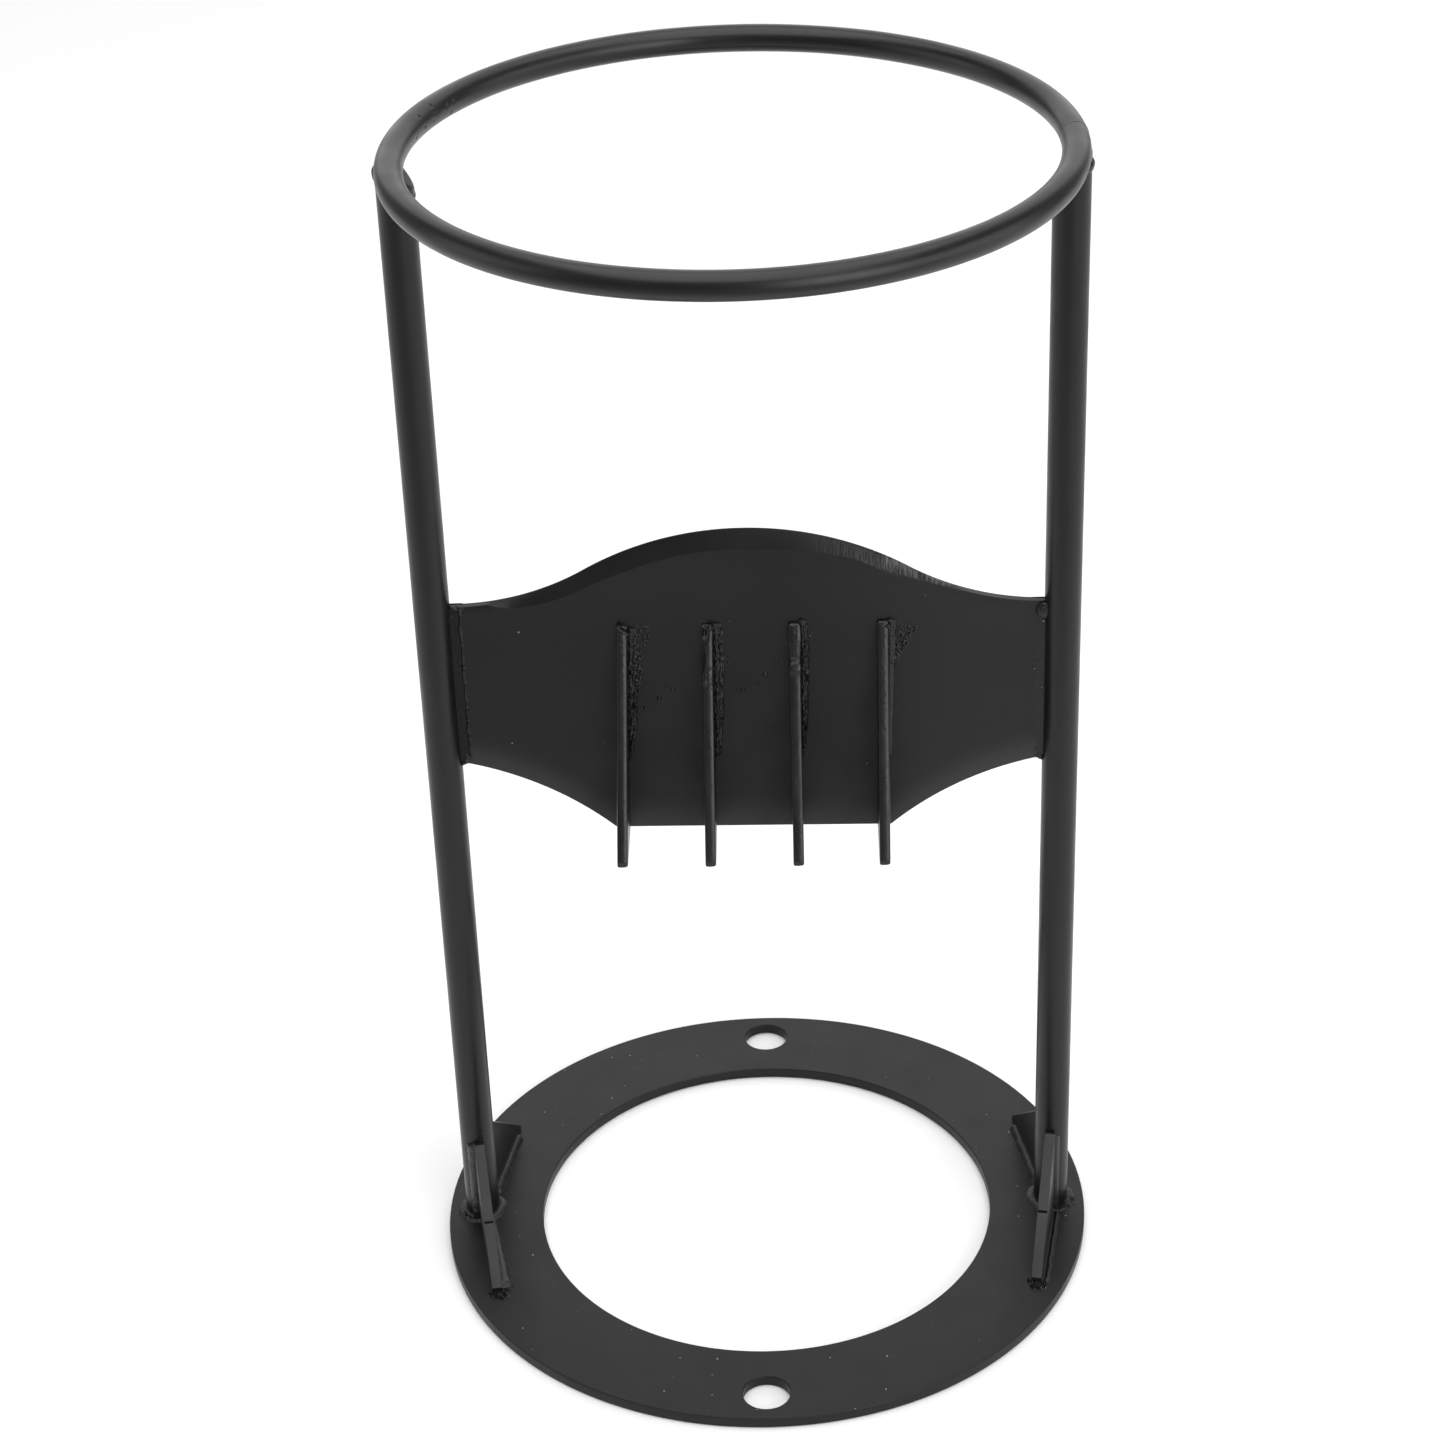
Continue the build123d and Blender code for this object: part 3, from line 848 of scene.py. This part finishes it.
# ------------------------ welds
def ring_crust(centre, inner, outer, height, spread=110, steps=16):
    """A closed crust round a post on the base, height(angle, distance from the post)."""
    rings = []
    for a in around_in(spread):
        ring = []
        for i in range(steps + 1):
            r = inner + (outer - inner) * i / steps
            h = max(-0.15, height(a, r - POST_R))
            ring.append((centre[0] + r * math.cos(a), centre[1] + r * math.sin(a), BASE_TOP + h))
        for r in (outer, inner):
            ring.append(
                (centre[0] + r * math.cos(a), centre[1] + r * math.sin(a), BASE_TOP - 0.35)
            )
        rings.append(ring)
    return skin(rings, cyclic=True)


for side, sign, seed in (("left", -1, 2.0), ("right", 1, 11.0)):
    pit = math.radians(232) if side == "left" else math.radians(-38)

    def collar(a, d, seed=seed, pit=pit, side=side):
        cx, cy = math.cos(a), math.sin(a)
        off = (a - pit + math.pi) % (2 * math.pi) - math.pi
        wild = bump_at(off, 0, 0.6)
        width = 2.7 + 0.25 * grain(3 * cx, 3 * cy, 0, 1.3, seed)
        width += (0.9 + 1.0 * rough(9 * cx, 9 * cy, 0, 2.0, seed)) * wild
        if d > width:
            return -0.3 * (d - width)
        t = max(0.0, d) / width
        body = (1.35 if side == "left" else 1.0) * (1 - t**2.6) + 0.12
        if side == "right":
            front = (a + 1.1 + math.pi) % (2 * math.pi) - math.pi
            body *= 1 - 0.6 * bump_at(front, 0, 0.6)
        hollow = 1.25 * wild * bump_at(d, 0.8, 1.1)
        hole = 1.5 * bump_at(off, 0.15, 0.13) * bump_at(d, 1.5, 0.6) * (side == "right")
        lump = wild * 0.7 * rough(9 * cx, 9 * cy, d, 1.2, seed + 3) * smooth_step(d, 1.0, 2.4)
        return body + lump - hollow - hole + 0.06 * rough(9 * cx, 9 * cy, d, 1.6, seed)

    foot = ring_crust((sign * POST_X, 0), POST_R - 0.5, POST_R + 4.6, collar, 150, 24)
    weld("foot_weld_" + side, [foot], GUSSET, "weld_foot_" + side)


def gusset_bead(seed, length, reach, tall, hollow=0.0):
    """The height of a bead along a gusset's foot."""

    def height(u, v):
        if v < 0 or v > length:
            return -0.3
        ends = smooth_step(v, 0, 1.5) * (1 - smooth_step(v, length - 2.0, length))
        width = (reach[0] + (reach[1] - reach[0]) * v / length) * (0.8 + 0.2 * ends)
        width *= 1 + 0.16 * rough(0, v, 0, 5.0, seed)
        if u > width:
            return -0.15 * (u - width)
        t = max(0.0, u) / width
        crest = tall * (1 - t**3.2) * (0.4 + 0.6 * ends) * (1 - hollow * bump_at(t, 0.25, 0.3))
        return crest + 0.08 * rough(u, 0.6 * v, 0, 1.3, seed) * (0.4 + t) + 0.05

    return height


def specks(chance, count, spread, low, high, lift):
    """Drops scattered round the origin, as u, v, radius and height."""
    spots = []
    for _ in range(count):
        a, d = chance.uniform(0, 2 * math.pi), abs(chance.gauss(0, 1))
        r = chance.uniform(low, high)
        spots.append((spread[0] * d * math.cos(a), spread[1] * d * math.sin(a), r, lift * r))
    return spots


for number, (name, sign, end, turn) in enumerate(GUSSETS):
    matrix = gusset_matrix(sign, end, turn)
    along = (matrix.to_3x3() @ X).normalized()
    inwards = (matrix.to_3x3() @ Z).normalized()
    if inwards.x * sign > 0:
        inwards = -inwards
    side_dir = -inwards if name == "front_right" else inwards
    start = POST_R + 2.4
    length = GUSSET_LEG - 2.4 - (5.0 if end > 0 else 0.0)
    corner = matrix.translation + along * start + side_dir * (GUSSET_T / 2)
    if name == "front_left":
        bead = gusset_bead(4.0, length, (2.2, 4.0), 2.7)
    elif name == "front_right":
        bead = gusset_bead(5.0, length, (2.6, 2.9), 1.5, 0.85)
    else:
        bead = gusset_bead(4.0 + number, length, (2.8, 2.4), 2.0)
    meshes = [crust(corner, side_dir, along, Z, (-0.5, 4.6), (-0.4, length + 0.4), 0.22, bead)]
    if end < 0:
        # the upright bead in the corner between the gusset's outer side and the post
        outer = -inwards
        rise = GUSSET_H + (0.3 if sign < 0 else -0.8)
        corner = matrix.translation + along * (POST_R - 1.6) + outer * (GUSSET_T / 2 - 0.1)
        fat = 3.4 if sign < 0 else 2.4
        grit = 0.16 if sign < 0 else 0.03

        def upright(u, v, number=number, rise=rise, fat=fat, grit=grit):
            ends = smooth_step(v, 0, 1.0) * (1 - smooth_step(v, rise - 1.6, rise))
            t = max(0.0, u) / (fat * (1 + 0.08 * rough(0, v, 0, 3.0, 70.0 + number)))
            if t > 1:
                return -0.2
            body = 0.75 * fat * (1 - t * t) ** 0.6 * ends
            return body + grit * rough(u, 0.5 * v, 0, 1.0, 71.0 + number)

        meshes.append(crust(corner, along, Z, outer, (-0.6, 3.8), (0.5, rise), 0.22, upright))
    weld("gusset_weld_" + name, meshes, GUSSET, "weld_gusset_" + name)
    if end < 0:
        chance = random.Random(90 + number)
        spot = matrix.translation + along * (TIP + 1.1) + side_dir * 0.4
        black = specks(chance, 190, (1.45, 1.45), 0.2, 0.42, 2.9)
        black = [(u, v + 0.5, r, h) for u, v, r, h in black]
        # painted highlights: a few pale drops among the dark ones stand in for glints
        pale = specks(chance, 34, (1.7, 1.2), 0.11, 0.19, 3.0)
        pale = [(u, v + 1.7, r, h + 0.45) for u, v, r, h in pale]
        reach = (-3.6, 3.6)
        dark_drops = crust(spot, side_dir, along, Z, reach, reach, 0.15, lifted(drops(black)), 0.3)
        pale_drops = crust(spot, side_dir, along, Z, reach, reach, 0.08, lifted(drops(pale)), 0.3)
        high = matrix.translation + along * (POST_R + 0.02) + Z * (GUSSET_H + 1.2)
        small = specks(chance, 17 if sign < 0 else 6, (1.0, 1.8), 0.18, 0.34, 1.5)
        bent = round_to(POST_R, drops(small))
        high_drops = crust(high, side_dir, Z, along, (-2.6, 2.6), (-2.6, 4.6), 0.13, bent, 1.6)
        # the pitted drops take the darker coat, painted shade on top of the real shade of their
        # pits
        weld("gusset_burrs_" + name, [dark_drops, high_drops], PIT_SHADE)
        weld("gusset_grit_" + name, [pale_drops], GLINT)


# Beads beside the fins: the rows are the height above a fixed level and the width there.
BEAD_LEVEL = 167.2
FIN_BEADS = (
    ((25.5, 0.2), (27.5, 1.2), (34.0, 1.8), (38.0, 2.8), (50.0, 3.0), (65.0, 3.2), (76.0, 3.3)),
    ((26.5, 0.2), (27.5, 2.0), (32.0, 2.4), (42.0, 3.0), (57.0, 3.4), (74.0, 3.6), (77.0, 3.0)),
    ((26.0, 0.2), (28.0, 1.2), (40.0, 2.2), (55.0, 2.8), (67.0, 2.8), (77.5, 2.4)),
    ((25.5, 0.2), (26.5, 1.2), (43.0, 1.9), (60.0, 2.1), (67.0, 2.4), (77.0, 2.7)),
)


def scattered(number, seed):
    """Drops of spatter beside a fin's bead, as u, v, radius and height."""
    chance = random.Random(seed)
    spots = []
    for _ in range((130, 16, 8, 190)[number]):
        r = chance.uniform(0.24, 0.6)
        if number == 0:
            v = chance.uniform(50, 77.5)
            u = chance.uniform(2.4, between(((50, 3.6), (60, 4.6), (77, 7.6)), v))
        elif number == 3:
            t = chance.random() ** 0.8
            v = 61.5 + 13.5 * t
            u = 2.6 + 7.6 * t - abs(chance.gauss(0, 0.85)) * (0.6 + 4.4 * t)
        else:
            v = chance.uniform(62, 78.5)
            u = chance.uniform(2.0, 5.4 if number == 1 else 3.8)
        spots.append((max(0.4, u), v, r, 1.05 * r))
    return spots


def fin_bead(number, rows, seed, tall):
    """The height of the bead and the spatter beside a fin."""
    drop = drops(scattered(number, int(seed * 11)))
    calm = 0.25 if number == 3 else 1.0

    def height(u, v):
        if v < rows[0][0] or v > rows[-1][0] + 0.9:
            reach = 0.0
        else:
            reach = between(rows, v) * (1 + 0.10 * rough(0, v, 0, 2.4, seed) * calm)
            reach *= math.sqrt(max(0.0, 1 - max(0.0, (v - rows[-1][0]) / 0.9) ** 2))
        spots = drop(u, v)
        if reach <= 0.05 or u > reach:
            return spots - 0.06 if spots else -0.3
        t = max(0.0, u) / reach
        crest = tall * (1 - t**2.2) ** 0.7 * (0.45 + 0.55 * smooth_step(v, 26, 44))
        groove = 0.32 * bump_at(t, 0.5 + 0.2 * grain(0, v, 0, 6.0, seed), 0.10) * calm
        valley = 0.45 * bump_at(t, 0.0, 0.16) * calm
        fibres = 0.27 * rough(2.4 * u, 0.42 * v, 0, 1.0, seed) * calm
        flecks = 0.30 * max(0.0, rough(u, 0.7 * v, 5, 0.7, seed + 2)) * calm
        return crest - groove - valley + fibres + flecks + 0.7 * spots

    return height


for number, ((node, x, lean), rows) in enumerate(zip(FINS, FIN_BEADS)):
    foot, up, right = fin_frame(x, lean)
    level = foot + up * ((BEAD_LEVEL - foot.z) / up.z)
    corner = level + right * (FIN_T / 2)
    far = (8.4, 6.2, 5.0, 11.0)[number]
    meshes = [
        crust(
            corner, right, up, -Y, (-0.5, far), (24.6, 79.4), 0.17,
            fin_bead(number, rows, 5.0 + 3 * number, (1.0, 1.1, 1.1, 1.1)[number]),
        )
    ]
    head = level + up * ((FIN_TOP - level.z) / up.z)

    def at(u, v, out, head=head, right=right, up=up):
        """A place u to the right of the fin's top, v above it and out in front of the blade."""
        return head + right * u + up * v - Y * out

    if number == 0:
        wedge = (right - 0.7 * up).normalized()
        meshes.append(blob(at(0.5, -1.2, 1.2), wedge, 2.9, 0.75, 1.0, 0.04, 1.5))
        meshes.append(blob(at(-0.9, -0.4, 1.0), up, 1.5, 0.6, 2.0, 0.04, 1.2))
    elif number == 1:
        meshes.append(blob(at(0.9, -1.0, 1.1), up, 1.5, 0.75, 3.0, 0.08, 1.1))
        meshes.append(blob(at(0.7, -13.4, 5.5), up, 0.8, 0.5, 5.0, 0.1))
        meshes.append(blob(at(-1.4, -18.2, 6.6), up, 0.5, 0.4, 5.5, 0.1))
        for k in range(5):
            place = at(-1.3 + 0.5 * (k % 3), -15.2 - 1.1 * k, 5.9 + 0.33 * k)
            meshes.append(blob(place, right, 0.45, 0.35, 50.0 + k, 0.2))
    elif number == 2:
        meshes.append(blob(at(2.5, -1.0, 0.5), up - 0.3 * right, 1.4, 0.55, 6.0, 0.1, 0.9))
        meshes.append(blob(at(2.9, -4.2, 0.4), up + 0.1 * right, 2.4, 0.45, 6.5, 0.1, 0.8))
        meshes.append(blob(at(-0.1, -14.4, 6.0), right, 0.9, 0.6, 7.0, 0.15))
        meshes.append(blob(at(-1.0, -13.6, 5.6), right, 0.5, 0.4, 7.5, 0.15))
    else:
        meshes.append(blob(at(1.7, -1.5, 1.6), right, 1.0, 0.8, 8.0, 0.06, 1.2))
    weld("fin_weld_" + node[4:], meshes, BEAD, "weld_" + node)


# Welds at the blade's ends.
def end_bead(seed, reach, tall, low, high, inside):
    """The height of the upright bead between the blade's end and its post."""

    def height(u, v):
        if v < low or v > high:
            return -0.3
        ends = smooth_step(v, low, low + 2.0) * (1 - smooth_step(v, high - 2.0, high))
        width = (reach + inside) * (1 + 0.10 * rough(0, v, 0, 3.0, seed))
        if u + inside > width:
            return -0.1 * (u + inside - width)
        t = max(0.0, u + inside) / width
        crest = tall * (1 - t**1.35) * (0.3 + 0.7 * ends)
        return crest + 0.10 * rough(2.0 * u, 0.5 * v, 0, 1.5, seed)

    return height


def toe_line(seed, where, low, high):
    """The thin raised edge a hollow bead leaves along its toe."""

    def height(u, v):
        centre = where + 0.35 * rough(0, v, 0, 6.0, seed) + 0.2 * rough(0, v, 3, 1.2, seed)
        ends = smooth_step(v, low, low + 2.0) * (1 - smooth_step(v, high - 1.5, high))
        return (0.6 + 0.25 * rough(u, v, 0, 1.3, seed)) * bump_at(u, centre, 0.42) * ends - 0.08

    return height


for side, sign in (("left", -1), ("right", 1)):
    inwards = Vector((-sign, 0, 0))
    inside = 1.5
    sunk = -TILT * sign * BLADE_HALF
    corner = Vector((sign * BLADE_HALF, FRONT_Y, 0))
    low_v = BOTTOM_END + 0.3 + sunk
    high_v = SHOULDER_Z - 0.2 + sunk
    reach_v = (low_v - 0.4, high_v + 0.4)
    bright = []
    if side == "left":
        toe = toe_line(21.0, 3.1, low_v, high_v)
        bright.append(crust(corner, inwards, Z, -Y, (1.2, 4.8), reach_v, 0.2, toe))
        bright.append(blob((-95.6, FRONT_Y - 0.1, high_v + 0.1), (1, 0, -0.5), 1.6, 0.7, 31.0, 0.1))
        bright.append(blob((-96.6, FRONT_Y - 0.4, high_v - 2.6), Z, 0.6, 0.5, 31.5, 0.1))
        dark = end_bead(22.0, 2.4, 0.5, low_v, high_v, inside)
        seen = (-inside, 3.4)
    else:
        top_spot = (96.9, FRONT_Y - 0.5, high_v - 2.9)
        bright.append(blob(top_spot, Z, 2.9, 2.7, 33.0, 0.05, 1.0))
        bright.append(blob((96.6, FRONT_Y - 1.3, high_v - 1.5), X, 0.9, 0.45, 34.0, 0.1, 0.5))
        dark = end_bead(23.0, 2.8, 0.22, low_v + 1, high_v - 4, inside)
        seen = (-inside, 4.2)
    bright.append(
        blob((sign * 96.2, FRONT_Y + 0.4, low_v - 0.3), (-sign, 0, 0.6), 1.9, 1.0, 36.0, 0.1)
    )
    back_corner = Vector((sign * BLADE_HALF, BACK_Y, 0))
    rear = end_bead(27.0 + sign, 2.6, 2.2, low_v, high_v, inside)
    bright.append(crust(back_corner, inwards, Z, Y, (-inside, 4.2), reach_v, 0.25, rear))
    weld("blade_weld_" + side, bright, BEAD, "weld_blade_" + side)
    # on the left the hollow bead takes the darker root coat, painted shade in the hollow beside the
    # post
    valley = crust(corner, inwards, Z, -Y, seen, reach_v, 0.25, dark)
    weld("blade_weld_root_" + side, [valley], BLADE_ROOT if side == "left" else BEAD)

# Painted highlights by the right end weld, pale flecks standing in for glints: the distance from
# the post, the height and the size.
END_GLINTS = (
    (1.6, 243.0, 0.4), (0.6, 247.5, 0.55), (4.3, 225.2, 0.3), (0.4, 223.6, 0.32),
    (0.6, 218.6, 0.3), (1.8, 218.2, 0.25), (0.5, 204.6, 0.3),
)
flecks = []
for u, z, r in END_GLINTS:
    flecks.append(blob((BLADE_HALF - u + 1.2, FRONT_Y - 0.5, z), Z, r, 0.8 * r, z, 0.1))
weld("end_glints", flecks, GLINT)


# A bead round each post's top, under the hoop.
for side, sign, seed in (("left", -1, 31.0), ("right", 1, 35.0)):
    rings = []
    for a in around_in(120):
        outside = smooth_step(sign * math.cos(a), -0.2, 0.7)
        swell = 1 + 0.35 * rough(5 * math.cos(a), 5 * math.sin(a), 0, 2.2, seed)
        lift = 0.5 * grain(4 * math.cos(a), 4 * math.sin(a), 1, 2.0, seed)
        drop = -3.2 * outside if side == "right" else -1.2 * smooth_step(math.cos(a), -0.3, 0.8)
        inner = 0.30 if side == "left" else 0.12
        cut = cut_at(sign, POST_R * math.cos(a))
        ring = []
        for b in around_in(18):
            fat = (inner + (0.85 - inner) * outside) * swell
            fat += 0.06 * rough(6 * a, 3 * b, 0, 1.0, seed)
            r = POST_R - 0.15 + fat * math.cos(b)
            ring.append(
                (
                    sign * POST_X + r * math.cos(a),
                    r * math.sin(a),
                    POST_TOP - 1.7 + lift + drop + 1.9 * fat * math.sin(b) - cut,
                )
            )
        rings.append(ring)
    weld("hoop_weld_" + side, [skin(rings, cyclic=True)], WELD, "weld_hoop_" + side)


def make_seam():
    """The hoop's butt weld, dressed nearly flush."""
    low, high = span("weld_hoop_seam")
    middle = math.atan2((low.y + high.y) / 2, HOOP_R)
    half = 1.0
    rings = []
    for k in range(15):
        s = (k - 7) / 7
        t = middle + s * half / HOOP_R
        ring = []
        for a in around_in(56):
            uneven = rough(3 * math.cos(a), 3 * math.sin(a), s, 1.0, 2.0)
            r = BAR_R - 0.12 + min(0.2, 0.16 * (1 - s * s) * (1 + 0.5 * uneven))
            r -= 0.1 * (abs(s) > 0.99)
            wave = t + 0.35 / HOOP_R * grain(3 * math.cos(a), 3 * math.sin(a), 0, 1.4, 6.0)
            radius = HOOP_R - 0.1 + r * math.cos(a)
            z = HOOP_Z + r * math.sin(a)
            ring.append((radius * math.cos(wave), radius * math.sin(wave), z))
        rings.append(ring)
    weld("hoop_seam", [skin(rings)], WELD, "weld_hoop_seam")


make_seam()

# Spatter on the blade's front: x, height and radius.
SPATTER = (
    (-34.6, 213.5, 0.7), (-30.0, 217.0, 0.8), (-25.4, 220.2, 0.6), (-27.5, 221.6, 0.5),
    (-2.1, 219.3, 0.7), (-3.8, 219.7, 0.4), (2.6, 221.8, 0.6), (5.4, 225.2, 0.8),
    (9.4, 230.0, 0.5),
)
dots = []
for number, (x, z, radius) in enumerate(SPATTER):

    def dome(u, v, radius=radius, number=number):
        d = math.hypot(u, v * 0.9) / radius
        if d > 1:
            return -0.1
        return 0.8 * radius * math.sqrt(1 - d * d) + 0.15 * rough(u, v, 0, 0.5, 40.0 + number)

    reach = (-1.25 * radius, 1.25 * radius)
    dots.append(crust(Vector((x, FRONT_Y, z)), X, Z, -Y, reach, reach, 0.1, dome, 0.2))
weld("spatter", dots, WELD, "weld_spatter")


# ------------------------ floor, light and camera
def make_floor():
    """A pale sheet just under the part, with painted shade well in front of it."""
    mesh = bpy.data.meshes.new("floor")
    reach, sink = 6.0, 0.0002
    mesh.from_pydata(
        [(-reach, -reach, 0), (reach, -reach, 0), (reach, reach, 0), (-reach, reach, 0)],
        [],
        [(0, 1, 2, 3)],
    )
    floor = added("floor", mesh)
    made = bpy.data.materials.new("floor_paper")
    made.use_nodes = True
    shader = made.node_tree.nodes["Principled BSDF"]
    # painted shade: the sheet's colour darkens softly well in front of the part, standing in for a
    # dim stretch of floor that the part reflects
    link = made.node_tree.links.new
    place = made.node_tree.nodes.new("ShaderNodeTexCoord")
    split = made.node_tree.nodes.new("ShaderNodeSeparateXYZ")
    link(place.outputs["Object"], split.inputs["Vector"])
    fade = made.node_tree.nodes.new("ShaderNodeMapRange")
    fade.interpolation_type = "SMOOTHSTEP"
    set_range(fade, -0.60, -0.26, 0.5, 0.93)
    link(split.outputs["Y"], fade.inputs["Value"])
    link(fade.outputs["Result"], shader.inputs["Base Color"])
    shader.inputs["Roughness"].default_value = 0.9
    shader.inputs["Specular IOR Level"].default_value = 0.1
    mesh.materials.append(made)
    floor.location.z = -sink


make_floor()

world = bpy.data.worlds.new("studio")
bpy.context.scene.world = world
world.use_nodes = True
back = world.node_tree.nodes["Background"]
back.inputs["Color"].default_value = (1.0, 1.0, 1.0, 1)
back.inputs["Strength"].default_value = 0.28


def soft_box(name, place, target, size, radiance):
    """A rectangular soft light of even radiance, facing its target."""
    data = bpy.data.lights.new(name, "AREA")
    data.shape = "RECTANGLE"
    data.size, data.size_y = size
    data.energy = radiance * math.pi * size[0] * size[1]
    lamp = added(name, data)
    lamp.location = place
    lamp.rotation_mode = "QUATERNION"
    lamp.rotation_quaternion = (Vector(target) - Vector(place)).to_track_quat("-Z", "Y")


soft_box("top_box", (0, -0.2, 2.1), (0, -0.1, 0.2), (2.2, 2.6), 2.3)
soft_box("back_box", (0, 2.9, 1.7), (0, 0, 0.3), (4.6, 3.2), 1.05)
soft_box("left_box", (-2.2, -0.3, 0.8), (0, 0, 0.25), (1.7, 1.5), 1.08)
soft_box("right_box", (2.2, -0.5, 0.8), (0, 0, 0.25), (1.9, 1.5), 1.6)
soft_box("front_box", (1.25, -1.9, 0.85), (0, 0, 0.3), (1.3, 1.7), 3.8)

CAMERA_PLACE = Vector((0.01847, -0.95540, 0.76588))
YAW, PITCH, ROLL = -0.0291, -0.5297, -0.0377
forward = Vector(
    (math.sin(YAW) * math.cos(PITCH), math.cos(YAW) * math.cos(PITCH), math.sin(PITCH))
)
level = Vector((math.cos(YAW), -math.sin(YAW), 0))
upright = level.cross(forward)
right = math.cos(ROLL) * level + math.sin(ROLL) * upright
upward = -math.sin(ROLL) * level + math.cos(ROLL) * upright
camera_data = bpy.data.cameras.new("camera")
camera_data.sensor_width = 36.0
camera_data.lens = 82.89
camera_data.clip_start = 0.01
camera_data.clip_end = 50
camera = added("camera", camera_data)
pose = Matrix((right, upward, -forward)).transposed().to_4x4()
pose.translation = CAMERA_PLACE
camera.matrix_world = pose
bpy.context.scene.camera = camera
bpy.context.scene.view_settings.view_transform = "Standard"
